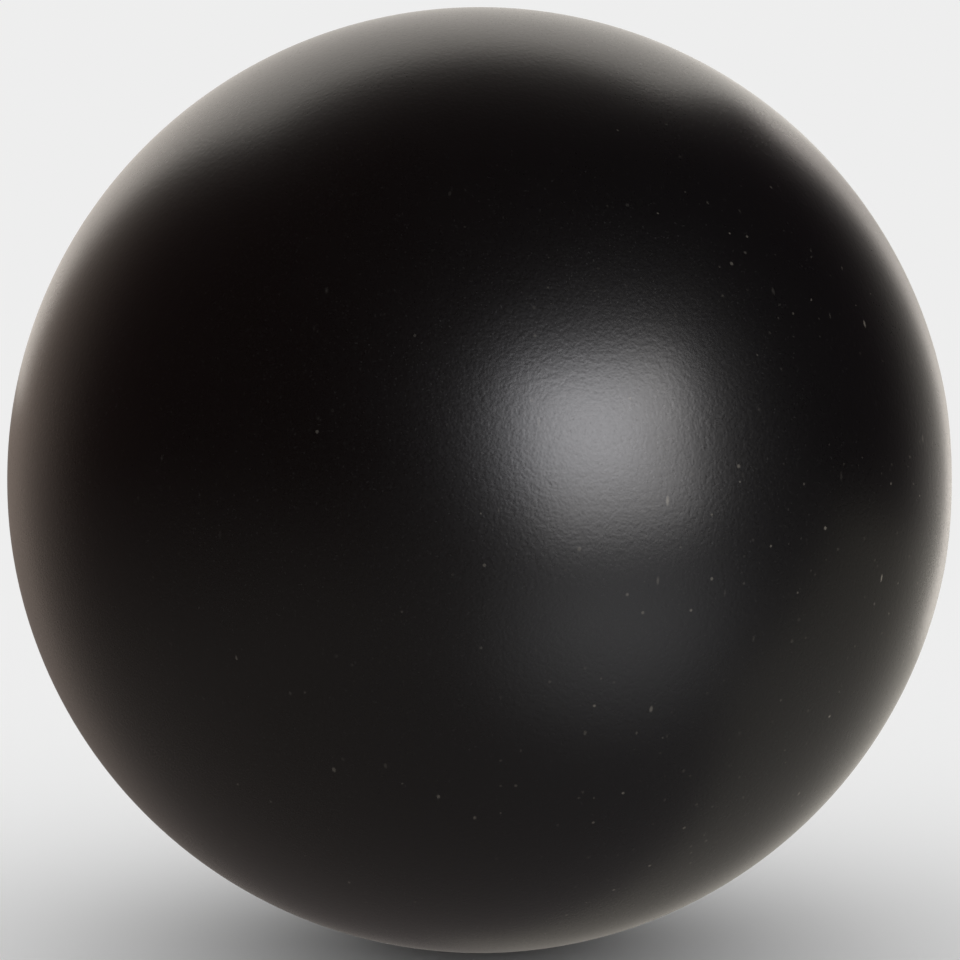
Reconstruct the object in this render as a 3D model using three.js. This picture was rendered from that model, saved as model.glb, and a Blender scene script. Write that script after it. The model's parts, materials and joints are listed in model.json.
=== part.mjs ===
// A lawn bowl of pressed black composition, standing on its running surface as it does in play.
//
// A bowl is a ball with a small flat on each side. The line through the two flats is its axle, and
// every piece is turned about it. The flats differ in size: the plain side is cut back further, so
// the weight lies a little towards the bias side, and the bowl curves that way as it slows down.
// A large ring marks the plain side and a small ring marks the bias side.
//
// Millimetres, +Z up, origin at the centre of the ball. The axle lies along X, with the plain side
// at +X and the bias side at -X.

import * as THREE from "three";

// Driving dimensions of the outer shell.
const RUNNING_RADIUS = 62.5;
const EDGE_ROUND = 4;
const CAVITY_RADIUS = 48.1;
const PIN_HOLE_RADIUS = 6;

// Each side: how far its flat lies from the centre, and the radii of what is let into the flat.
const PLAIN_SIDE = { name: "plain_side", faceAt: 59.5, discRadius: 14.4, bossRadius: 6, ringRadius: 16.5 };
const BIAS_SIDE = { name: "bias_side", faceAt: 60.25, discRadius: 11.2, bossRadius: 4.5, ringRadius: 13.4 };

// Clearance all round an inlaid piece, which on the real bowl is its line of glue.
const GLUE_GAP = 0.1;

const DISC_THICKNESS = 2;
const DISC_RIM_WIDTH = 1.6;
const DISC_CHANNEL_DEPTH = 0.4;
const RING_WIDTH = 1.2;
const RING_DEPTH = 0.9;

// The core is held central by two pins while the shell is pressed round it. The pins leave a hole
// through the shell at each side, with a socket in the core below it, and a plug fills both.
const CORE_RADIUS = 48;
const SOCKET_RADIUS = 4;
const SOCKET_DEPTH = 4;
const PLUG_SHOULDER_AT = CORE_RADIUS + GLUE_GAP;
const PLUG_CHAMFER = 0.6;

// Roundness of the turned surfaces: segments round the axle, and degrees between an arc's points.
const BALL_SEGMENTS = 48;
const PLUG_SEGMENTS = 24;
const RUNNING_STEP = 5;
const CAVITY_STEP = 10;
const EDGE_STEP = 24;

const blackPhenolic = () =>
  new THREE.MeshStandardMaterial({ color: 0x141414, roughness: 0.36, metalness: 0 });
const greyPhenolic = () =>
  new THREE.MeshStandardMaterial({ color: 0x3b3632, roughness: 0.7, metalness: 0 });
const blackDiscPlastic = () =>
  new THREE.MeshStandardMaterial({ color: 0x1d1d1e, roughness: 0.3, metalness: 0 });
const ivoryResin = () =>
  new THREE.MeshStandardMaterial({ color: 0xd9cfb2, roughness: 0.45, metalness: 0 });

// Outline points are (radius from the axle, distance along the axle).
const point = (radius, along) => new THREE.Vector2(radius, along);

const { degToRad, radToDeg } = THREE.MathUtils;

// An arc about a centre, both ends included. Angles are in degrees from the plain side's end of
// the axle, turning outwards from it.
function arc(centreRadius, centreAlong, arcRadius, start, end, step) {
  const steps = Math.max(2, Math.round(Math.abs(end - start) / step));
  const points = [];
  for (let i = 0; i <= steps; i += 1) {
    const angle = degToRad(start + ((end - start) * i) / steps);
    const radius = centreRadius + arcRadius * Math.sin(angle);
    points.push(point(radius, centreAlong + arcRadius * Math.cos(angle)));
  }
  return points;
}

// An arc about the middle of the ball, from the plain side over the widest circle to the bias side.
function overTheEquator(radius, plainAngle, biasAngle, step) {
  const plainHalf = arc(0, 0, radius, plainAngle, 90, step);
  const biasHalf = arc(0, 0, radius, 90, 180 - biasAngle, step);
  return [...plainHalf, ...biasHalf.slice(1)];
}

// A piece turned from its outline. The outline's skin runs from the bias side to the plain side.
function turned(name, outline, segments, material) {
  const mesh = new THREE.Mesh(new THREE.LatheGeometry(outline, segments), material);
  mesh.name = name;
  return mesh;
}

// The centre of the rounded edge between a side's flat and the ball: it touches both from inside.
function edgeCentre(side) {
  const along = side.faceAt - EDGE_ROUND;
  return point(Math.sqrt((RUNNING_RADIUS - EDGE_ROUND) ** 2 - along ** 2), along);
}

// Where the rounded edge meets the ball, in degrees from the axle.
function edgeAngle(side) {
  const centre = edgeCentre(side);
  return radToDeg(Math.atan2(centre.x, centre.y));
}

// One side of the shell, from the pin hole out: the disc's seat, the ring's groove and the edge.
function shellSide(side) {
  const seatAt = side.faceAt - DISC_THICKNESS - GLUE_GAP;
  const seatRadius = side.discRadius + GLUE_GAP;
  const grooveAt = side.faceAt - RING_DEPTH - GLUE_GAP;
  const grooveInner = side.ringRadius - RING_WIDTH / 2 - GLUE_GAP;
  const grooveOuter = side.ringRadius + RING_WIDTH / 2 + GLUE_GAP;
  const centre = edgeCentre(side);
  return [
    point(PIN_HOLE_RADIUS, seatAt),
    point(seatRadius, seatAt),
    point(seatRadius, side.faceAt),
    point(grooveInner, side.faceAt),
    point(grooveInner, grooveAt),
    point(grooveOuter, grooveAt),
    point(grooveOuter, side.faceAt),
    ...arc(centre.x, centre.y, EDGE_ROUND, 0, edgeAngle(side), EDGE_STEP),
  ];
}

const mirrored = (outline) => outline.map((p) => point(p.x, -p.y)).reverse();

// The core and the cavity share this arc's angles, so that their facets lie parallel.
function innerArc(radius) {
  const holeAngle = radToDeg(Math.asin(PIN_HOLE_RADIUS / CAVITY_RADIUS));
  return overTheEquator(radius, holeAngle, holeAngle, CAVITY_STEP).reverse();
}

// The outer shell: the whole visible ball, hollow for the core and open along the axle.
function outerShell() {
  const plainEdge = edgeAngle(PLAIN_SIDE);
  const biasEdge = edgeAngle(BIAS_SIDE);
  const running = overTheEquator(RUNNING_RADIUS, plainEdge, biasEdge, RUNNING_STEP);
  const outline = [
    ...shellSide(PLAIN_SIDE),
    ...running.slice(1, -1),
    ...mirrored(shellSide(BIAS_SIDE)),
    ...innerArc(CAVITY_RADIUS),
  ];
  outline.push(outline[0].clone());
  return turned("outer_shell", outline.reverse(), BALL_SEGMENTS, blackPhenolic());
}

// The core: a plain moulded ball with a blind socket at each end of the axle.
function innerCore() {
  const socketFloor = CORE_RADIUS - SOCKET_DEPTH;
  const socketMouth = Math.sqrt(CORE_RADIUS ** 2 - SOCKET_RADIUS ** 2);
  const outline = [
    point(0, -socketFloor),
    point(SOCKET_RADIUS, -socketFloor),
    point(SOCKET_RADIUS, -socketMouth),
    ...innerArc(CORE_RADIUS),
    point(SOCKET_RADIUS, socketMouth),
    point(SOCKET_RADIUS, socketFloor),
    point(0, socketFloor),
  ];
  return turned("inner_core", outline, BALL_SEGMENTS, greyPhenolic());
}

// A plug: its nose sits in the core's socket and its shank fills the hole through the shell.
function corePlug(side) {
  const noseAt = CORE_RADIUS - SOCKET_DEPTH + GLUE_GAP;
  const noseRadius = SOCKET_RADIUS - GLUE_GAP;
  const shankRadius = PIN_HOLE_RADIUS - GLUE_GAP;
  const topAt = side.faceAt - DISC_THICKNESS - GLUE_GAP;
  const outline = [
    point(0, noseAt),
    point(noseRadius - PLUG_CHAMFER, noseAt),
    point(noseRadius, noseAt + PLUG_CHAMFER),
    point(noseRadius, PLUG_SHOULDER_AT),
    point(shankRadius, PLUG_SHOULDER_AT),
    point(shankRadius, topAt),
    point(0, topAt),
  ];
  return turned(`${side.name}_core_plug`, outline, PLUG_SEGMENTS, greyPhenolic());
}

// A side disc: flush with the flat, with a shallow turned channel between its rim and its boss.
function sideDisc(side) {
  const backAt = side.faceAt - DISC_THICKNESS;
  const channelAt = side.faceAt - DISC_CHANNEL_DEPTH;
  const channelOuter = side.discRadius - DISC_RIM_WIDTH;
  const outline = [
    point(0, backAt),
    point(side.discRadius, backAt),
    point(side.discRadius, side.faceAt),
    point(channelOuter, side.faceAt),
    point(channelOuter, channelAt),
    point(side.bossRadius, channelAt),
    point(side.bossRadius, side.faceAt),
    point(0, side.faceAt),
  ];
  return turned(`${side.name}_disc`, outline, BALL_SEGMENTS, blackDiscPlastic());
}

// A ring inlay: resin run into the groove and turned flush with the flat.
function ringInlay(side) {
  const floorAt = side.faceAt - RING_DEPTH;
  const inner = side.ringRadius - RING_WIDTH / 2;
  const outer = side.ringRadius + RING_WIDTH / 2;
  const outline = [
    point(inner, floorAt),
    point(outer, floorAt),
    point(outer, side.faceAt),
    point(inner, side.faceAt),
    point(inner, floorAt),
  ];
  return turned(`${side.name}_ring_inlay`, outline, BALL_SEGMENTS, ivoryResin());
}

// The three pieces that fill one side, built at the plain side's end of the axle.
function inlaidSide(side) {
  const group = new THREE.Group();
  group.add(corePlug(side), sideDisc(side), ringInlay(side));
  return group;
}

// Pieces are turned about Y, and this group lays their axle along X.
const bowl = new THREE.Group();
const plainSide = inlaidSide(PLAIN_SIDE);
const biasSide = inlaidSide(BIAS_SIDE);
biasSide.rotation.x = Math.PI;
bowl.add(outerShell(), innerCore(), plainSide, biasSide);
bowl.rotation.z = -Math.PI / 2;

export default bowl;
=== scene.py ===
# %% [markdown]
# # A lawn bowl of pressed black composition
# A lawn bowl is a heavy, nearly round ball, 125 mm across. It is pressed from black phenolic
# moulding powder and then turned and polished on a lathe. A small flat is cut on each side, and a
# disc and a thin ring are let into each flat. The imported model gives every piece's place and size,
# and this script makes the surfaces that the eye sees. Units are metres.

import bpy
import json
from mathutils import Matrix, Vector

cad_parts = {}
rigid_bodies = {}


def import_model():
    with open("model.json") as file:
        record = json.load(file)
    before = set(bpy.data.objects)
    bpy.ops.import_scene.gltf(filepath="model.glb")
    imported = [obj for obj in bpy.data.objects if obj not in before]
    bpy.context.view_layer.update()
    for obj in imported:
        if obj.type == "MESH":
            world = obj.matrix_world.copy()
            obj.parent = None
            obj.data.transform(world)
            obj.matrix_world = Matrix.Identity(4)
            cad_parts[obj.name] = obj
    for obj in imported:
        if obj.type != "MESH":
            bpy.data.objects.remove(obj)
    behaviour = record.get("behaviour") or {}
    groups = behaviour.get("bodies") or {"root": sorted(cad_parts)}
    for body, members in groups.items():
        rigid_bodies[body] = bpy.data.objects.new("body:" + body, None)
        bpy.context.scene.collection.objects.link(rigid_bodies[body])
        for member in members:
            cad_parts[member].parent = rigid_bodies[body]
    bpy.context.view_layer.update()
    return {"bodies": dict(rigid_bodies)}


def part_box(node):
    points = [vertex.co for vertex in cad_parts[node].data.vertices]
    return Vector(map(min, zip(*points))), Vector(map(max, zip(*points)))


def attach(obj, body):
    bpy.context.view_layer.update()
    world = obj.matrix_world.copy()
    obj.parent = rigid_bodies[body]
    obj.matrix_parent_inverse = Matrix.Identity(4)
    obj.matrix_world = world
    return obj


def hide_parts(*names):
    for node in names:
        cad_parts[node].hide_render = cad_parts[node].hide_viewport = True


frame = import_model()

# %% [markdown]
# Everything on a bowl is turned about its axle, which lies along X here: the plain side is at +X
# and the bias side at -X. So each piece can be described by stations, as a turner marks out a
# spindle: how far along the axle, and at what radius. The sizes are read back from the frame.

# %% Measure the pieces
import json
import math

import bmesh
import bpy
from mathutils import Vector

MM = 0.001
MERGE = 0.001 * MM
SHELL, CORE = "outer_shell", "inner_core"
SIDES = {"plain_side": 1, "bias_side": -1}


def radius_of(node):
    """A turned node's largest radius about the axle."""
    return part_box(node)[1][2]


def face_of(node, way):
    """How far along the axle a node reaches on one side, as a positive number."""
    low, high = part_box(node)
    return high[0] if way > 0 else -low[0]


ball_radius = radius_of(SHELL)
core_radius = radius_of(CORE)
for side, way in SIDES.items():
    print(side, "flat at", round(face_of(SHELL, way) / MM, 2), "mm")
print("ball radius", round(ball_radius / MM, 2), "mm")
print("core radius", round(core_radius / MM, 2), "mm")

# %% [markdown]
# The camera looks straight along the green at the bowl's running surface, four ball radii away, so
# both side flats turn just out of sight and only the ball shows. A ball seen from close up hides
# more of itself than half, and the lens is worked out from that: the ball's outline is the cone
# that just touches it.

# %% Place the camera
SENSOR = 36.0
RADII_AWAY = 4
SHARE_OF_WIDTH_FILLED = 0.98542
camera_distance = RADII_AWAY * ball_radius
outline_slope = math.tan(math.asin(ball_radius / camera_distance))
frame_slope = outline_slope / SHARE_OF_WIDTH_FILLED

camera_data = bpy.data.cameras.new("camera")
camera_data.sensor_width = SENSOR
camera_data.lens = SENSOR / 2 / frame_slope
camera_data.clip_start = 0.01
camera = bpy.data.objects.new("camera", camera_data)
camera.location = (0, -camera_distance, 0)
camera.rotation_euler = (math.pi / 2, 0, 0)
bpy.context.scene.collection.objects.link(camera)
bpy.context.scene.camera = camera
print("camera", round(camera_distance, 3), "m away, lens", round(camera_data.lens, 1), "mm")

# %% [markdown]
# Every piece starts from a primitive and is then turned from station to station: the open rim or
# the end cap is extruded to the next mark and scaled to its radius there. An arc of stations makes
# a rounded edge, and two stations at one place make a shoulder. A pole is closed by drawing a last
# small ring together. The other ways are to spin an outline, which is as good but hides where each
# feature is, and booleans, which leave long thin triangles that show up in a gloss surface.

# %% Turning by stations
POLE_SHARE = 1 / 8


def deselect():
    """Ends edit mode and deselects every object."""
    if bpy.context.object and bpy.context.object.mode == "EDIT":
        bpy.ops.object.mode_set(mode="OBJECT")
    bpy.ops.object.select_all(action="DESELECT")


def begin(name):
    """Names the new primitive, lays its place and turn into its mesh, and opens it for editing."""
    piece = bpy.context.object
    piece.name = piece.data.name = name
    bpy.ops.object.transform_apply(location=True, rotation=True, scale=True)
    bpy.ops.object.mode_set(mode="EDIT")
    return piece


def choose(piece, wanted):
    """Selects the vertices whose place passes the test, with the edges and faces between them."""
    bpy.ops.mesh.select_mode(type="VERT")
    bpy.ops.mesh.select_all(action="DESELECT")
    mesh = bmesh.from_edit_mesh(piece.data)
    for vertex in mesh.verts:
        vertex.select = wanted(vertex.co)
    mesh.select_flush_mode()
    bmesh.update_edit_mesh(piece.data)


def choose_ring(piece, along, radius=None, near=0.02 * MM):
    """Selects a ring of vertices at one mark on the axle, or only those at one radius there."""

    def wanted(place):
        at_mark = abs(place.x - along) < near
        return at_mark and (radius is None or abs(math.hypot(place.y, place.z) - radius) < near)

    choose(piece, wanted)


def turn(piece, way, stations):
    """Extrudes the selected rim or cap through stations, each (distance along the axle, radius)."""
    for along, radius in stations:
        mesh = bmesh.from_edit_mesh(piece.data)
        place = next(vertex.co.copy() for vertex in mesh.verts if vertex.select)
        grow = radius / math.hypot(place.y, place.z)
        move = {"value": (way * along - place.x, 0, 0)}
        bpy.ops.mesh.extrude_region_move(TRANSFORM_OT_translate=move)
        bpy.ops.transform.resize(value=(1, grow, grow), center_override=(0, 0, 0))


def close_pole():
    """Draws the selected cap or rim together to a point on the axle."""
    bpy.ops.mesh.merge(type="CENTER")


def finish_piece(piece, edge_width, sharp=30):
    """Merges, turns faces outwards, breaks the sharp edges and shades the rest smooth."""
    bpy.ops.mesh.select_all(action="SELECT")
    bpy.ops.mesh.remove_doubles(threshold=MERGE)
    bpy.ops.mesh.normals_make_consistent(inside=False)
    bpy.ops.object.mode_set(mode="OBJECT")
    bevel = piece.modifiers.new("broken edges", "BEVEL")
    bevel.width = edge_width
    bevel.segments = 2
    bevel.limit_method = "ANGLE"
    bevel.angle_limit = math.radians(sharp)
    bpy.ops.object.modifier_apply(modifier=bevel.name)
    bpy.ops.object.shade_smooth_by_angle(angle=math.radians(sharp))
    print(piece.name, len(piece.data.vertices), "vertices")


def arc(centre_along, centre_radius, radius, start, end, steps):
    """Stations on an arc. Angles are in degrees from the outward end of the axle."""
    stations = []
    for step in range(1, steps + 1):
        angle = math.radians(start + (end - start) * step / steps)
        along = centre_along + radius * math.cos(angle)
        stations.append((along, centre_radius + radius * math.sin(angle)))
    return stations

# %% [markdown]
# ## The outer shell
# The real shell is black phenolic moulding powder, pressed hot round a ready-made core and then
# turned to its running profile. Its outside begins as a sphere with its poles on the axle. Each
# end is cut off by a bisect where the rounded edge of the side flat begins, and the open rim is
# turned inwards: over the 4 mm rounded edge, across the flat, down into the ring's groove and out
# again, down to the disc's seat, and along the hole that the core was held by. A second, smaller
# sphere with its faces turned inwards is the cavity. Both have the same number of segments, so the
# rims of the hole and the cavity meet vertex to vertex and merge into one closed skin.

# %% Turn the outer shell
BALL_SEGMENTS, BALL_RINGS, CAVITY_RINGS = 256, 128, 64
EDGE_ROUND = 4.0 * MM
EDGE_STEPS = 12
GLUE = 0.1 * MM
RING_WIDTH, GROOVE_DEPTH = 1.2 * MM, 1.0 * MM
SEAT_DEPTH = 2.1 * MM
along_the_axle = (0, math.pi / 2, 0)
cavity_radius = core_radius + GLUE
hole_radius = radius_of("plain_side_core_plug") + GLUE
hole_floor = math.sqrt(cavity_radius**2 - hole_radius**2)


def cut_both_ends(plain_at, bias_at):
    """Cuts a sphere off square at both ends and leaves the ends open."""
    for way, along in ((1, plain_at), (-1, bias_at)):
        bpy.ops.mesh.select_all(action="SELECT")
        bpy.ops.mesh.bisect(
            plane_co=(way * along, 0, 0), plane_no=(way, 0, 0), clear_outer=True, threshold=MERGE
        )


def edge_of(way):
    """The centre of a side's rounded edge, and the angle at which that edge meets the ball."""
    along = face_of(SHELL, way) - EDGE_ROUND
    radius = math.sqrt((ball_radius - EDGE_ROUND) ** 2 - along**2)
    return along, radius, math.degrees(math.atan2(radius, along))


def shell_side_stations(side, way):
    """From the ball's rim over the edge, the groove and the disc's seat to the cavity."""
    face = face_of(SHELL, way)
    edge_along, edge_radius, angle = edge_of(way)
    ring_outer = radius_of(side + "_ring_inlay")
    groove_floor = face - GROOVE_DEPTH
    groove_outer = ring_outer + GLUE
    groove_inner = ring_outer - RING_WIDTH - GLUE
    seat = face - SEAT_DEPTH
    seat_radius = radius_of(side + "_disc") + GLUE
    return arc(edge_along, edge_radius, EDGE_ROUND, angle, 0, EDGE_STEPS) + [
        (face, groove_outer),
        (groove_floor, groove_outer),
        (groove_floor, groove_inner),
        (face, groove_inner),
        (face, seat_radius),
        (seat, seat_radius),
        (seat, hole_radius),
        (hole_floor, hole_radius),
    ]


deselect()
bpy.ops.mesh.primitive_uv_sphere_add(
    segments=BALL_SEGMENTS, ring_count=CAVITY_RINGS, radius=cavity_radius, rotation=along_the_axle
)
cavity = begin("cavity")
cut_both_ends(hole_floor, hole_floor)
bpy.ops.mesh.select_all(action="SELECT")
bpy.ops.mesh.flip_normals()

deselect()
bpy.ops.mesh.primitive_uv_sphere_add(
    segments=BALL_SEGMENTS, ring_count=BALL_RINGS, radius=ball_radius, rotation=along_the_axle
)
shell = begin("bowl_shell")
ball_ends = {}
for side, way in SIDES.items():
    angle = edge_of(way)[2]
    ball_ends[side] = ball_radius * math.cos(math.radians(angle))
cut_both_ends(ball_ends["plain_side"], ball_ends["bias_side"])
for side, way in SIDES.items():
    choose_ring(shell, way * ball_ends[side])
    turn(shell, way, shell_side_stations(side, way))
bpy.ops.object.mode_set(mode="OBJECT")
cavity.select_set(True)
bpy.ops.object.join()
bpy.ops.object.mode_set(mode="EDIT")
finish_piece(shell, edge_width=0.12 * MM)

# %% [markdown]
# ## The core and its plugs
# The core is a moulded ball of the same kind of resin, filled with wood flour. Two pins held it
# central in the press, and each left a hole through the shell with a socket in the core below it.
# A plug fills each hole, and the side disc hides it. None of this shows on a whole bowl, but it is
# made properly, because the pieces can be taken away one by one.

# %% Turn the core
CORE_SEGMENTS, CORE_RINGS = 192, 96
SOCKET_RADIUS, SOCKET_DEPTH = 4.0 * MM, 4.0 * MM
SOCKET_CHAMFER = 0.5 * MM
socket_floor = core_radius - SOCKET_DEPTH
mouth_radius = SOCKET_RADIUS + SOCKET_CHAMFER
socket_mouth = math.sqrt(core_radius**2 - mouth_radius**2)

deselect()
bpy.ops.mesh.primitive_uv_sphere_add(
    segments=CORE_SEGMENTS, ring_count=CORE_RINGS, radius=core_radius, rotation=along_the_axle
)
core = begin("moulded_core")
cut_both_ends(socket_mouth, socket_mouth)
for way in SIDES.values():
    choose_ring(core, way * socket_mouth)
    turn(core, way, [
        (socket_mouth - SOCKET_CHAMFER, SOCKET_RADIUS),
        (socket_floor, SOCKET_RADIUS),
        (socket_floor, SOCKET_RADIUS * POLE_SHARE),
    ])
    close_pole()
finish_piece(core, edge_width=0.1 * MM)

# %% [markdown]
# A plug is a short stepped pin. It starts as a cylinder the size of its shank, and its inner end is
# turned down to the nose that sits in the core's socket. The outer end has sunk a little, where
# the resin shrank in the mould, and that is a shallow dish of three stations.

# %% Turn the plugs
PLUG_SEGMENTS = 96
NOSE_CHAMFER = 0.6 * MM
# How far out, as a share of the shank's radius, and how deep the outer end has sunk there.
SINK = ((0.8, 0.0), (0.4, 0.15 * MM), (0.05, 0.2 * MM))
plugs = {}
for side, way in SIDES.items():
    low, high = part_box(side + "_core_plug")
    shank_radius = high[2]
    outer_end = max(abs(low[0]), abs(high[0]))
    nose_end = min(abs(low[0]), abs(high[0]))
    shoulder = core_radius + GLUE
    nose_radius = SOCKET_RADIUS - GLUE
    deselect()
    bpy.ops.mesh.primitive_cylinder_add(
        vertices=PLUG_SEGMENTS,
        radius=shank_radius,
        depth=outer_end - shoulder,
        location=(way * (outer_end + shoulder) / 2, 0, 0),
        rotation=along_the_axle,
    )
    plug = begin(side + "_plug")
    choose_ring(plug, way * shoulder)
    turn(plug, way, [
        (shoulder, nose_radius),
        (nose_end + NOSE_CHAMFER, nose_radius),
        (nose_end, nose_radius - NOSE_CHAMFER),
        (nose_end, nose_radius * POLE_SHARE),
    ])
    close_pole()
    choose_ring(plug, way * outer_end)
    turn(plug, way, [(outer_end - depth, shank_radius * share) for share, depth in SINK])
    close_pole()
    finish_piece(plug, edge_width=0.1 * MM)
    plugs[side] = plug

# %% [markdown]
# ## The side discs
# The disc on each side is turned from black plastic sheet and glued into its seat, flush with the
# flat. A maker or a club would have its own mark engraved here; this one has only what the lathe
# leaves, a rim, a sunk band of fine ridges, and a boss with a shallow dish and a centre mark. The
# ridges are real steps in the mesh, so they catch the light in rings from any side.

# %% Turn the side discs
DISC_SEGMENTS = 192
RIM_WIDTH = 1.6 * MM
CHANNEL_DEPTH = 0.4 * MM
RIDGE_PITCH, RIDGE_HEIGHT = 0.7 * MM, 0.17 * MM
RIDGE_MARGIN = 0.4 * MM
BOSS_SHARE = 0.41
DISH_DEPTH, DISH_LIP = 0.22 * MM, 0.7 * MM
DISH_HALFWAY_DEPTH, DISH_HALFWAY_RADIUS = 0.7, 0.6
CENTRE_MARK = 0.45 * MM


def ridges(floor, outer, inner):
    """Stations of even V-shaped ridges on a sunk floor, from the outer radius to the inner."""
    count = max(1, round((outer - inner) / RIDGE_PITCH))
    pitch = (outer - inner) / count
    stations = []
    for step in range(count):
        stations.append((floor + RIDGE_HEIGHT, outer - pitch * (step + 0.5)))
        stations.append((floor, outer - pitch * (step + 1)))
    return stations


def disc_stations(face, radius):
    """From the disc's rim in to its centre mark."""
    floor = face - CHANNEL_DEPTH
    band_outer = radius - RIM_WIDTH
    boss = radius * BOSS_SHARE
    return [
        (face, band_outer),
        (floor, band_outer),
        *ridges(floor, band_outer - RIDGE_MARGIN, boss + RIDGE_MARGIN),
        (floor, boss),
        (face, boss),
        (face, boss - DISH_LIP),
        (face - DISH_DEPTH * DISH_HALFWAY_DEPTH, (boss - DISH_LIP) * DISH_HALFWAY_RADIUS),
        (face - DISH_DEPTH, CENTRE_MARK),
        (face - DISH_DEPTH - CENTRE_MARK, CENTRE_MARK * POLE_SHARE),
    ]


discs = {}
for side, way in SIDES.items():
    low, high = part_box(side + "_disc")
    radius = high[2]
    deselect()
    bpy.ops.mesh.primitive_cylinder_add(
        vertices=DISC_SEGMENTS,
        radius=radius,
        depth=high[0] - low[0],
        location=((low[0] + high[0]) / 2, 0, 0),
        rotation=along_the_axle,
    )
    disc = begin(side + "_inlaid_disc")
    face = face_of(side + "_disc", way)
    choose_ring(disc, way * face)
    turn(disc, way, disc_stations(face, radius))
    close_pole()
    finish_piece(disc, edge_width=0.08 * MM)
    discs[side] = disc

# %% [markdown]
# ## The ring inlays
# A thin ring of pale resin is run into a turned groove and cut back flush. The large ring marks the
# plain side and the small one the bias side, towards which the bowl curves. Each starts as a bare
# circle on the groove's floor, which is turned out, up, in and down again to where it began.

# %% Turn the ring inlays
RING_SEGMENTS = 256
rings = {}
for side, way in SIDES.items():
    low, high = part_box(side + "_ring_inlay")
    outer, inner = high[2], high[2] - RING_WIDTH
    floor, face = sorted((abs(low[0]), abs(high[0])))
    deselect()
    bpy.ops.mesh.primitive_circle_add(
        vertices=RING_SEGMENTS,
        radius=inner,
        fill_type="NOTHING",
        location=(way * floor, 0, 0),
        rotation=along_the_axle,
    )
    ring = begin(side + "_ring")
    bpy.ops.mesh.select_all(action="SELECT")
    turn(ring, way, [(floor, outer), (face, outer), (face, inner), (floor, inner)])
    finish_piece(ring, edge_width=0.08 * MM)
    rings[side] = ring

# %% [markdown]
# ## Materials
# Patterns are worked out in Object coordinates, which are metres here, so a texture's scale is one
# over the size of the grain that it draws. One helper adds a node with its settings and its links,
# and another turns a hex colour, as a screen shows it, into the linear values a shader needs. A Mix
# node has three sockets of each name, one for each kind of value, so its colour sockets are known
# by their numbers.

# %% Helpers for materials
MIX_SHARE, MIX_UNDER, MIX_OVER, MIXED = 0, 6, 7, 2


def linear(hex_colour):
    """A #rrggbb colour as linear red, green, blue and alpha."""
    values = [int(hex_colour[place : place + 2], 16) / 255 for place in (1, 3, 5)]
    curve = [v / 12.92 if v <= 0.04045 else ((v + 0.055) / 1.055) ** 2.4 for v in values]
    return (*curve, 1.0)


def add_node(tree, kind, inputs=None, result=None, **settings):
    """Adds a node. An input is a value or another node's result; gives one result, or the node."""
    made = tree.nodes.new("ShaderNode" + kind)
    for name, value in settings.items():
        setattr(made, name, value)
    for socket, value in (inputs or {}).items():
        if isinstance(value, bpy.types.NodeSocket):
            tree.links.new(value, made.inputs[socket])
        else:
            made.inputs[socket].default_value = value
    return made if result is None else made.outputs[result]


def new_material(name):
    """An empty material, its node tree, and the place on the piece in metres."""
    material = bpy.data.materials.new(name)
    material.use_nodes = True
    tree = material.node_tree
    tree.nodes.clear()
    return material, tree, add_node(tree, "TexCoord", result="Object")


def dress(piece, material):
    """Gives a piece one material all over."""
    piece.data.materials.clear()
    piece.data.materials.append(material)
    print(piece.name, "wears", material.name, "with", len(material.node_tree.nodes), "nodes")

# %% [markdown]
# ### Pressed black phenolic
# The shell is phenolic moulding powder: carbon black in a clear brown resin, pressed at about
# 160 °C. The resin's index is 1.55 to 1.6, a little above glass, and the carbon leaves next to no
# colour of its own, so nearly all that the eye gets is the reflection. The skin has been turned,
# buffed and then dulled by play to a soft satin, which spreads every highlight.
#
# Age has marked it too, in ways that are drawn first. Fine hairlines come from grit and from other
# bowls: a noise stretched seventeen times along one direction, kept only at its peaks. A real one
# is a few hundredths of a millimetre wide, so here they are drawn as wide as they need to show.
# Pale specks are grains of filler and grit at the surface: one in each cell of a Voronoi texture,
# most of them faint and a few bright. The same specks on stretched coordinates are short nicks.

# %% Hairlines, specks and nicks
HAIRLINE, HAIRLINE_LENGTH = 0.2 * MM, 3.5 * MM
HAIRLINE_EDGE = 0.06
ONE_WAY, ANOTHER_WAY = (0.3, 0.2, 0.9), (1.1, 0.5, -0.4)
SPECK_SPACING, SPECK_RADIUS = 1.7 * MM, 0.27 * MM
FAINTEST_SPECK, BRIGHTEST_SPECK = 0.09, 0.8
SELDOM_BRIGHT = 4.0
NICK_LENGTH, NICK_WAY = 2.8, (0.3, 0.35, 0)


def hairlines(tree, here, turn_by, rarity):
    """Long thin marks in one direction: how much of each point is scratched."""
    stretched = add_node(tree, "Mapping", {
        "Vector": here, "Scale": (1, HAIRLINE / HAIRLINE_LENGTH, 1), "Rotation": turn_by,
    }, "Vector")
    marks = add_node(tree, "TexNoise", {
        "Vector": stretched, "Scale": 1 / HAIRLINE, "Detail": 0.0,
    }, "Fac")
    return add_node(tree, "MapRange", {
        "Value": marks, "From Min": rarity, "From Max": rarity + HAIRLINE_EDGE,
    }, "Result")


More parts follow.
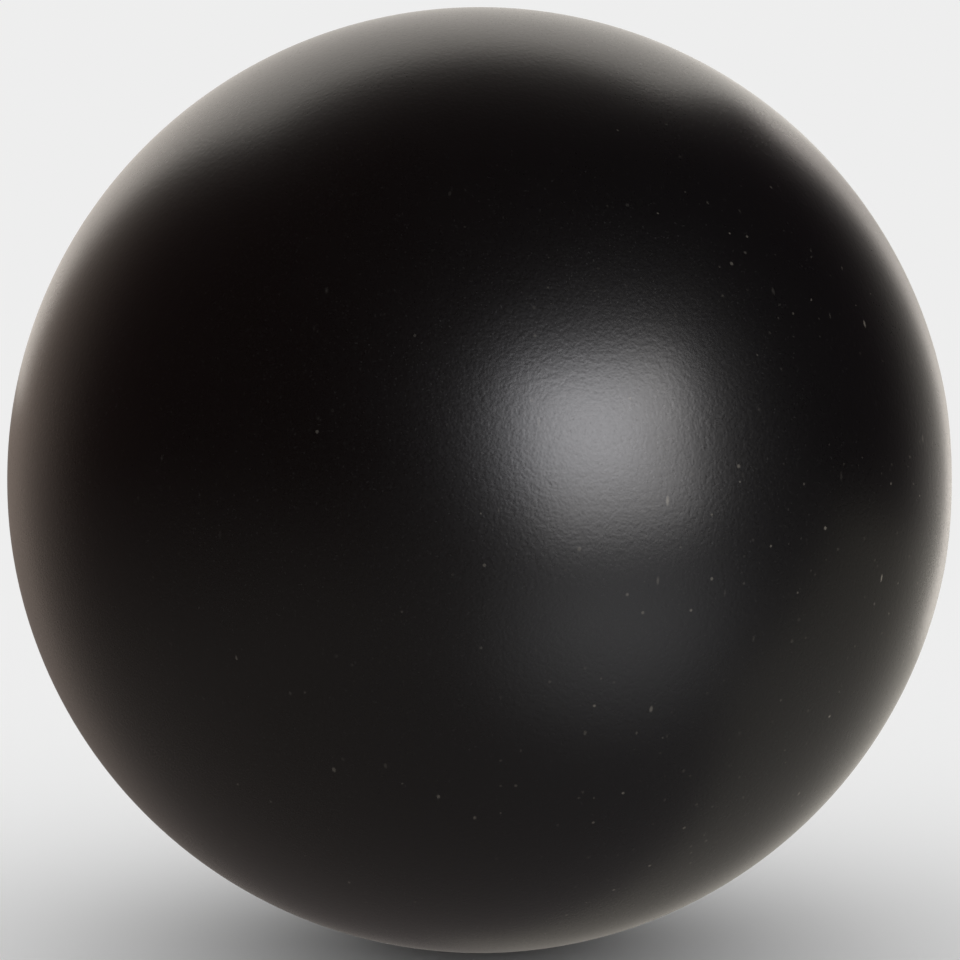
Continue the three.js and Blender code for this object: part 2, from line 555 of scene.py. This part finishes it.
def specks(tree, here, share_kept):
    """Small round specks, at most one in a cell: how much of each point is speck."""
    cells = add_node(tree, "TexVoronoi", {"Vector": here, "Scale": 1 / SPECK_SPACING})
    lot = add_node(tree, "SeparateColor", {"Color": cells.outputs["Color"]})
    full_size = SPECK_RADIUS / SPECK_SPACING
    size = add_node(tree, "MapRange", {
        "Value": lot.outputs["Green"], "To Min": full_size / 2, "To Max": full_size,
    }, "Result")
    reach = add_node(tree, "Math", {
        0: cells.outputs["Distance"], 1: size,
    }, "Value", operation="DIVIDE")
    inside = add_node(tree, "MapRange", {
        "Value": reach, "From Min": 0.5, "From Max": 1.0, "To Min": 1.0, "To Max": 0.0,
    }, "Result")
    kept = add_node(tree, "Math", {
        0: lot.outputs["Red"], 1: share_kept,
    }, "Value", operation="LESS_THAN")
    seldom_bright = add_node(tree, "Math", {
        0: lot.outputs["Blue"], 1: SELDOM_BRIGHT,
    }, "Value", operation="POWER")
    bright = add_node(tree, "MapRange", {
        "Value": seldom_bright, "To Min": FAINTEST_SPECK, "To Max": BRIGHTEST_SPECK,
    }, "Result")
    drawn = add_node(tree, "Math", {0: inside, 1: kept}, "Value", operation="MULTIPLY")
    return add_node(tree, "Math", {0: drawn, 1: bright}, "Value", operation="MULTIPLY")

# %% [markdown]
# The skin itself has an orange peel 0.6 mm across and about a hundredth of a millimetre deep,
# with a finer one on it, which breaks up the edge of a highlight. Broad wiped patches are a little
# glossier than the rest. The bowl has lain on one side in its bag, so the specks are thick towards
# the plain side and a little below, and rare on the opposite shoulder.

# %% Black phenolic
PEEL, PEEL_DEPTH = 0.6 * MM, 0.0115 * MM
FINE_PEEL, FINE_PEEL_DEPTH = 0.3 * MM, 0.005 * MM
WIPE_MARK = 28 * MM
LAIN_BELOW = -0.4
WORN_FROM, WORN_TO = -35 * MM, 55 * MM
FEWEST_SPECKS, MOST_SPECKS = 0.06, 0.85
NICKS_TO_SPECKS = 0.4
GLOSSIEST, DULLEST = 0.274, 0.306
FINE_GRAIN = 0.02
SCRATCH_DULLS, SCRATCH_PALES = 0.08, 0.3
RARITY, HIGHER_RARITY = 0.75, 0.77


def black_phenolic():
    material, tree, here = new_material("pressed_black_phenolic_satin")
    peel = add_node(tree, "TexNoise", {"Vector": here, "Scale": 1 / PEEL, "Detail": 1.0}, "Fac")
    fine_peel = add_node(tree, "TexNoise", {
        "Vector": here, "Scale": 1 / FINE_PEEL, "Detail": 1.0,
    }, "Fac")
    wiped = add_node(tree, "TexNoise", {
        "Vector": here, "Scale": 1 / WIPE_MARK, "Detail": 3.0,
    }, "Fac")
    scratched = add_node(tree, "Math", {
        0: hairlines(tree, here, ONE_WAY, RARITY),
        1: hairlines(tree, here, ANOTHER_WAY, HIGHER_RARITY),
    }, "Value", operation="MAXIMUM")

    parts = add_node(tree, "SeparateXYZ", {"Vector": here})
    lain_on = add_node(tree, "Math", {
        0: parts.outputs["Z"], 1: LAIN_BELOW, 2: parts.outputs["X"],
    }, "Value", operation="MULTIPLY_ADD")
    worn = add_node(tree, "MapRange", {
        "Value": lain_on, "From Min": WORN_FROM, "From Max": WORN_TO,
        "To Min": FEWEST_SPECKS, "To Max": MOST_SPECKS,
    }, "Result")
    drawn_out = add_node(tree, "Mapping", {
        "Vector": here, "Scale": (1, 1, 1 / NICK_LENGTH), "Rotation": NICK_WAY,
    }, "Vector")
    few = add_node(tree, "Math", {0: worn, 1: NICKS_TO_SPECKS}, "Value", operation="MULTIPLY")
    pitted = add_node(tree, "Math", {
        0: specks(tree, here, worn), 1: specks(tree, drawn_out, few),
    }, "Value", operation="MAXIMUM")
    speckled = add_node(tree, "Math", {0: pitted, 1: worn}, "Value", operation="MULTIPLY")

    black = add_node(tree, "Mix", {
        MIX_SHARE: wiped, MIX_UNDER: linear("#040404"), MIX_OVER: linear("#070606"),
    }, MIXED, data_type="RGBA")
    pale = add_node(tree, "Math", {0: scratched, 1: SCRATCH_PALES}, "Value", operation="MULTIPLY")
    scuffed = add_node(tree, "Mix", {
        MIX_SHARE: pale, MIX_UNDER: black, MIX_OVER: linear("#2a2826"),
    }, MIXED, data_type="RGBA")
    colour = add_node(tree, "Mix", {
        MIX_SHARE: speckled, MIX_UNDER: scuffed, MIX_OVER: linear("#8d867a"),
    }, MIXED, data_type="RGBA")

    satin = add_node(tree, "MapRange", {
        "Value": wiped, "From Min": 0.3, "From Max": 0.7, "To Min": GLOSSIEST, "To Max": DULLEST,
    }, "Result")
    grain = add_node(tree, "MapRange", {
        "Value": fine_peel, "From Min": 0.25, "From Max": 0.75,
        "To Min": -FINE_GRAIN, "To Max": FINE_GRAIN,
    }, "Result")
    even = add_node(tree, "Math", {0: satin, 1: grain}, "Value", operation="ADD")
    rough = add_node(tree, "Math", {
        0: scratched, 1: SCRATCH_DULLS, 2: even,
    }, "Value", operation="MULTIPLY_ADD")

    broad = add_node(tree, "Bump", {"Height": peel, "Distance": PEEL_DEPTH}, "Normal")
    bumps = add_node(tree, "Bump", {
        "Height": fine_peel, "Distance": FINE_PEEL_DEPTH, "Normal": broad,
    }, "Normal")
    shader = add_node(tree, "BsdfPrincipled", {
        "Base Color": colour, "Roughness": rough, "IOR": 1.55, "Normal": bumps,
    }, "BSDF")
    add_node(tree, "OutputMaterial", {"Surface": shader})
    return material


dress(shell, black_phenolic())

# %% [markdown]
# ### Filled phenolic
# The core and the plugs are the same resin with wood flour in it and no finish, since nobody sees
# them: a dull dark brown with paler flecks of flour, faintly grainy to the touch.

# %% Filled phenolic
FLOUR_FLECK, FLECK_HEIGHT = 0.6 * MM, 0.02 * MM
CLOUD = 12 * MM


def filled_phenolic():
    material, tree, here = new_material("moulded_wood_flour_phenolic")
    fleck = add_node(tree, "TexNoise", {
        "Vector": here, "Scale": 1 / FLOUR_FLECK, "Detail": 3.0, "Roughness": 0.7,
    }, "Fac")
    cloud = add_node(tree, "TexNoise", {"Vector": here, "Scale": 1 / CLOUD, "Detail": 2.0}, "Fac")
    brown = add_node(tree, "Mix", {
        MIX_SHARE: cloud, MIX_UNDER: linear("#2c2420"), MIX_OVER: linear("#3a3029"),
    }, MIXED, data_type="RGBA")
    flour = add_node(tree, "MapRange", {
        "Value": fleck, "From Min": 0.58, "From Max": 0.72, "To Max": 0.6,
    }, "Result")
    colour = add_node(tree, "Mix", {
        MIX_SHARE: flour, MIX_UNDER: brown, MIX_OVER: linear("#6b5a48"),
    }, MIXED, data_type="RGBA")
    rough = add_node(tree, "MapRange", {
        "Value": fleck, "From Min": 0.3, "From Max": 0.7, "To Min": 0.62, "To Max": 0.78,
    }, "Result")
    bumps = add_node(tree, "Bump", {"Height": fleck, "Distance": FLECK_HEIGHT}, "Normal")
    shader = add_node(tree, "BsdfPrincipled", {
        "Base Color": colour, "Roughness": rough, "IOR": 1.55, "Normal": bumps,
    }, "BSDF")
    add_node(tree, "OutputMaterial", {"Surface": shader})
    return material


brown_phenolic = filled_phenolic()
for piece in (core, *plugs.values()):
    dress(piece, brown_phenolic)

# %% [markdown]
# ### Turned black sheet
# The discs are cut from cast black plastic sheet, acrylic, whose index is 1.49. The tool leaves
# very fine rings round the centre, closer than the eye can part, which draw the highlight out into
# a fan. The rings here are drawn from the distance to the axle, at a pitch that still shows. Dust
# has settled on the discs in patches.

# %% Black sheet plastic
TOOL_MARK, TOOL_MARK_DEPTH = 0.16 * MM, 0.004 * MM
DUST_PATCH = 3 * MM


def turned_black_sheet():
    material, tree, here = new_material("turned_black_cast_sheet")
    parts = add_node(tree, "SeparateXYZ", {"Vector": here})
    across = add_node(tree, "CombineXYZ", {
        "Y": parts.outputs["Y"], "Z": parts.outputs["Z"],
    }, "Vector")
    from_axle = add_node(tree, "VectorMath", {0: across}, "Value", operation="LENGTH")
    tool_marks = add_node(tree, "TexNoise", {
        "W": from_axle, "Scale": 1 / TOOL_MARK, "Detail": 1.0,
    }, "Fac", noise_dimensions="1D")
    dust = add_node(tree, "TexNoise", {
        "Vector": here, "Scale": 1 / DUST_PATCH, "Detail": 4.0, "Roughness": 0.65,
    }, "Fac")
    dusty = add_node(tree, "MapRange", {
        "Value": dust, "From Min": 0.5, "From Max": 0.75, "To Max": 0.5,
    }, "Result")
    colour = add_node(tree, "Mix", {
        MIX_SHARE: dusty, MIX_UNDER: linear("#161617"), MIX_OVER: linear("#35322f"),
    }, MIXED, data_type="RGBA")
    rough = add_node(tree, "MapRange", {
        "Value": tool_marks, "From Min": 0.2, "From Max": 0.8, "To Min": 0.24, "To Max": 0.38,
    }, "Result")
    bumps = add_node(tree, "Bump", {"Height": tool_marks, "Distance": TOOL_MARK_DEPTH}, "Normal")
    shader = add_node(tree, "BsdfPrincipled", {
        "Base Color": colour, "Roughness": rough, "IOR": 1.49, "Normal": bumps,
    }, "BSDF")
    add_node(tree, "OutputMaterial", {"Surface": shader})
    return material


black_sheet = turned_black_sheet()
for disc in discs.values():
    dress(disc, black_sheet)

# %% [markdown]
# ### Cast ivory resin
# The rings are a pale filler resin, cast in place and cut back. It is a little cloudy, and handling
# has browned it unevenly and left small spots of dirt on it.

# %% Ivory resin
AGED_PATCH, DIRT_GRAIN, DIRT_DEPTH = 2.5 * MM, 0.5 * MM, 0.008 * MM


def ivory_resin():
    material, tree, here = new_material("cast_ivory_resin")
    cloud = add_node(tree, "TexNoise", {
        "Vector": here, "Scale": 1 / AGED_PATCH, "Detail": 3.0,
    }, "Fac")
    dirt = add_node(tree, "TexNoise", {
        "Vector": here, "Scale": 1 / DIRT_GRAIN, "Detail": 2.0,
    }, "Fac")
    browned = add_node(tree, "MapRange", {
        "Value": cloud, "From Min": 0.3, "From Max": 0.7,
    }, "Result")
    aged = add_node(tree, "Mix", {
        MIX_SHARE: browned, MIX_UNDER: linear("#c9be9b"), MIX_OVER: linear("#b5a880"),
    }, MIXED, data_type="RGBA")
    dirty = add_node(tree, "MapRange", {
        "Value": dirt, "From Min": 0.62, "From Max": 0.8, "To Max": 0.7,
    }, "Result")
    colour = add_node(tree, "Mix", {
        MIX_SHARE: dirty, MIX_UNDER: aged, MIX_OVER: linear("#6e6350"),
    }, MIXED, data_type="RGBA")
    rough = add_node(tree, "MapRange", {
        "Value": dirt, "From Min": 0.3, "From Max": 0.7, "To Min": 0.38, "To Max": 0.5,
    }, "Result")
    bumps = add_node(tree, "Bump", {"Height": dirt, "Distance": DIRT_DEPTH}, "Normal")
    shader = add_node(tree, "BsdfPrincipled", {
        "Base Color": colour, "Roughness": rough, "IOR": 1.52, "Normal": bumps,
    }, "BSDF")
    add_node(tree, "OutputMaterial", {"Surface": shader})
    return material


ivory = ivory_resin()
for ring in rings.values():
    dress(ring, ivory)

# %% [markdown]
# ## Joining the pieces to the frame
# A bowl has no moving part, so every piece rides on its one body. Each finer piece stands for the
# plain solid of the imported model, which is hidden in its place.

# %% Ride and replace
stands_for = {SHELL: (shell, "shell_black_phenolic"), CORE: (core, "core_phenolic")}
for side in SIDES:
    stands_for[side + "_core_plug"] = (plugs[side], "plug_phenolic")
    stands_for[side + "_disc"] = (discs[side], "disc_black_plastic")
    stands_for[side + "_ring_inlay"] = (rings[side], "ring_ivory_resin")
body = next(iter(frame["bodies"]))
for node, (piece, slot) in stands_for.items():
    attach(piece, body)
    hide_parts(node)
print(len(stands_for), "pieces ride on", body)

# %% [markdown]
# ## Floor and light
# The floor is matt white paint with a fine stipple. It and the studio behind it are one pale tone,
# so no horizon shows. They stay pale to the camera, but the bowl's gloss doesn't see them: a black
# satin ball has no tone of its own, so its picture is a picture of the room, and a white floor
# would make it look grey.

# %% Floor
FLOOR_RADIUS, FLOOR_SEGMENTS = 6.0, 96
STIPPLE = 3 * MM
FLOOR_WHITE = linear("#f2f2f2")

deselect()
bpy.ops.mesh.primitive_circle_add(
    vertices=FLOOR_SEGMENTS,
    radius=FLOOR_RADIUS,
    fill_type="NGON",
    location=(0, 0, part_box(SHELL)[0][2]),
)
floor = begin("floor")
bpy.ops.object.mode_set(mode="OBJECT")
floor_paint, floor_tree, on_floor = new_material("matt_white_floor_paint")
stipple = add_node(floor_tree, "TexNoise", {
    "Vector": on_floor, "Scale": 1 / STIPPLE, "Detail": 2.0,
}, "Fac")
matt = add_node(floor_tree, "MapRange", {
    "Value": stipple, "From Min": 0.3, "From Max": 0.7, "To Min": 0.7, "To Max": 0.85,
}, "Result")
paint = add_node(floor_tree, "BsdfPrincipled", {
    "Base Color": FLOOR_WHITE, "Roughness": matt, "Specular IOR Level": 0.0,
}, "BSDF")
add_node(floor_tree, "OutputMaterial", {"Surface": paint})
dress(floor, floor_paint)
floor.visible_glossy = False

# %% [markdown]
# A square softbox beside the camera gives the one soft highlight. It is two lights in one place: an
# even cloth, and the lamp behind it that makes its middle brighter, with a small bright corner. A
# white sheet hangs behind and above, and a narrow strip stands behind at the right. Only the skin
# near the outline can see those two, so they draw the pale rim. The lights shine on gloss only, and
# the floor takes its light from the room, so it stays even.
#
# The numbers in the table of lights, like those of the room's tones and patches further down, come
# from a least-squares fit to the tones that the ball should show. A few were then changed.
# That is why they aren't round.

# %% Light
def aim(light, place, tilt):
    """Puts a light at a place, turns it to face the middle of the ball and tilts it in degrees."""
    light.location = place
    light.rotation_euler = (-Vector(place)).to_track_quat("-Z", "Y").to_euler()
    light.rotation_euler.rotate_axis("Z", math.radians(tilt))


def soft_light(name, place, size, tilt, radiance, colour):
    """A rectangular light of an even brightness, which the camera doesn't see."""
    data = bpy.data.lights.new(name, "AREA")
    data.shape = "RECTANGLE"
    data.size, data.size_y = size
    data.energy = radiance * math.pi * size[0] * size[1]
    data.color = linear(colour)[:3]
    light = bpy.data.objects.new(name, data)
    light.visible_camera = False
    light.visible_diffuse = False
    aim(light, place, tilt)
    bpy.context.scene.collection.objects.link(light)
    print(name, round(data.energy, 2), "W")


def from_camera_axis(right, up, distance):
    """A place seen from the ball at angles in degrees from the direction of the camera."""
    across, above = math.radians(right), math.radians(up)
    return (
        distance * math.sin(across) * math.cos(above),
        -distance * math.cos(across) * math.cos(above),
        distance * math.sin(above),
    )


# Degrees right and up of the camera as seen from the ball, metres away, width and height in
# metres, degrees of tilt, radiance, colour.
LIGHTS = {
    "softbox": (29.1, 7.2, 0.80, (0.474, 0.458), 7, 4.2, "#fffcfc"),
    "softbox_lamp": (21.2, 10.8, 0.79, (0.363, 0.314), 1, 4.4, "#f6f7ff"),
    "softbox_corner": (40.8, 17.9, 0.78, (0.10, 0.195), 0, 3.0, "#fffcfa"),
    "back_sheet": (-171.0, 35.8, 1.10, (1.32, 1.28), 0, 1.14, "#fffaf2"),
    "edge_strip": (147.6, 12.0, 1.05, (0.134, 0.88), 0, 1.59, "#fff6ef"),
}
for name, (right, up, distance, size, tilt, radiance, colour) in LIGHTS.items():
    soft_light(name, from_camera_axis(right, up, distance), size, tilt, radiance, colour)

# %% [markdown]
# The rest of the room is painted on the world, and only a glossy ray sees it. It is dim: a wall,
# and below it a table that is a little brighter, with some lit patches. Each patch is a rectangle
# in one direction that fades out softly, as the reflection of a lit table or a wall does. The slope
# of a ray sideways and upwards from the patch's middle says where in the rectangle it falls.

# %% Patches of light in the room
# Degrees right and up, half width and half height as slopes, half the fade as a slope, radiance,
# colour.
PATCHES = {
    "table_in_front": (35.1, -30.7, 0.358, 0.264, 0.319, 0.83, "#fbfcff"),
    "table_at_right": (129.2, -30.4, 0.916, 0.461, 0.05, 0.17, "#fffae3"),
    "wall_behind": (163.2, -0.7, 0.307, 0.091, 0.722, 3.1, "#fff9ee"),
    "wall_at_left": (-141.7, 5.5, 0.107, 0.216, 0.8, 1.41, "#ffebdb"),
}
NEARLY_SIDEWAYS = 0.001


def room_patch(tree, ray, under, right, up, half_width, half_height, half_fade, light):
    """Adds a soft-edged rectangle of light, seen in one direction, to the colour under it."""
    ahead = Vector(from_camera_axis(right, up, 1.0))
    sideways = Vector((0, 0, 1)).cross(ahead).normalized()
    upwards = ahead.cross(sideways)
    forward = add_node(tree, "VectorMath", {0: ray, 1: ahead}, "Value", operation="DOT_PRODUCT")
    divisor = add_node(tree, "Math", {
        0: forward, 1: NEARLY_SIDEWAYS,
    }, "Value", operation="MAXIMUM")
    share = add_node(tree, "Math", {0: forward, 1: 0.0}, "Value", operation="GREATER_THAN")
    for axis, edge in ((sideways, half_width), (upwards, half_height)):
        aside = add_node(tree, "VectorMath", {0: ray, 1: axis}, "Value", operation="DOT_PRODUCT")
        slope = add_node(tree, "Math", {0: aside, 1: divisor}, "Value", operation="DIVIDE")
        reach = add_node(tree, "Math", {0: slope}, "Value", operation="ABSOLUTE")
        inside = add_node(tree, "MapRange", {
            "Value": reach, "From Min": edge - half_fade, "From Max": edge + half_fade,
            "To Min": 1.0, "To Max": 0.0,
        }, "Result", interpolation_type="SMOOTHSTEP")
        share = add_node(tree, "Math", {0: share, 1: inside}, "Value", operation="MULTIPLY")
    return add_node(tree, "Mix", {
        MIX_SHARE: share, MIX_UNDER: under, MIX_OVER: light,
    }, MIXED, data_type="RGBA", blend_type="ADD")

# %% [markdown]
# A camera ray or a diffuse ray sees a plain pale studio instead of the dim room. Its light on the
# floor is raised by what the paint takes away, so that both come out alike. World sampling is off,
# because it would light the gloss with the pale studio.

# %% Room
PALE_STUDIO = linear("#eeeeee")
TABLE_TO_WALL = (-0.53, 0.056)
LEFT_TO_RIGHT = (-0.6, 0.6)

world = bpy.data.worlds.new("room")
bpy.context.scene.world = world
world.use_nodes = True
world.cycles.sampling_method = "NONE"
room = world.node_tree
room.nodes.clear()
sees = add_node(room, "LightPath")
ray = add_node(room, "TexCoord", result="Generated")
parts = add_node(room, "SeparateXYZ", {"Vector": ray})
upper = add_node(room, "MapRange", {
    "Value": parts.outputs["Z"], "From Min": TABLE_TO_WALL[0], "From Max": TABLE_TO_WALL[1],
}, "Result")
righter = add_node(room, "MapRange", {
    "Value": parts.outputs["X"], "From Min": LEFT_TO_RIGHT[0], "From Max": LEFT_TO_RIGHT[1],
}, "Result")
table = add_node(room, "Mix", {
    MIX_SHARE: righter, MIX_UNDER: linear("#78706c"), MIX_OVER: linear("#726e70"),
}, MIXED, data_type="RGBA")
wall = add_node(room, "Mix", {
    MIX_SHARE: righter, MIX_UNDER: linear("#392624"), MIX_OVER: linear("#2d2428"),
}, MIXED, data_type="RGBA")
seen = add_node(room, "Mix", {
    MIX_SHARE: upper, MIX_UNDER: table, MIX_OVER: wall,
}, MIXED, data_type="RGBA")
for right, up, half_width, half_height, half_fade, radiance, colour in PATCHES.values():
    light = tuple(radiance * value for value in linear(colour))
    seen = room_patch(room, ray, seen, right, up, half_width, half_height, half_fade, light)
strength = add_node(room, "MapRange", {
    "Value": sees.outputs["Is Camera Ray"], "To Min": 1 / FLOOR_WHITE[0], "To Max": 1.0,
}, "Result")
dim_room = add_node(room, "Background", {"Color": seen}, "Background")
pale_room = add_node(room, "Background", {
    "Color": PALE_STUDIO, "Strength": strength,
}, "Background")
either = add_node(room, "MixShader", {
    0: sees.outputs["Is Glossy Ray"], 1: pale_room, 2: dim_room,
}, "Shader")
add_node(room, "OutputWorld", {"Surface": either})
print("room painted with", len(PATCHES), "patches and", len(room.nodes), "nodes")

# %% [markdown]
# The Standard view keeps a tone as it is lit, with no film curve over it, so blacks stay as deep as
# the lights make them.

# %% Set the view and finish
bpy.context.scene.view_settings.view_transform = "Standard"
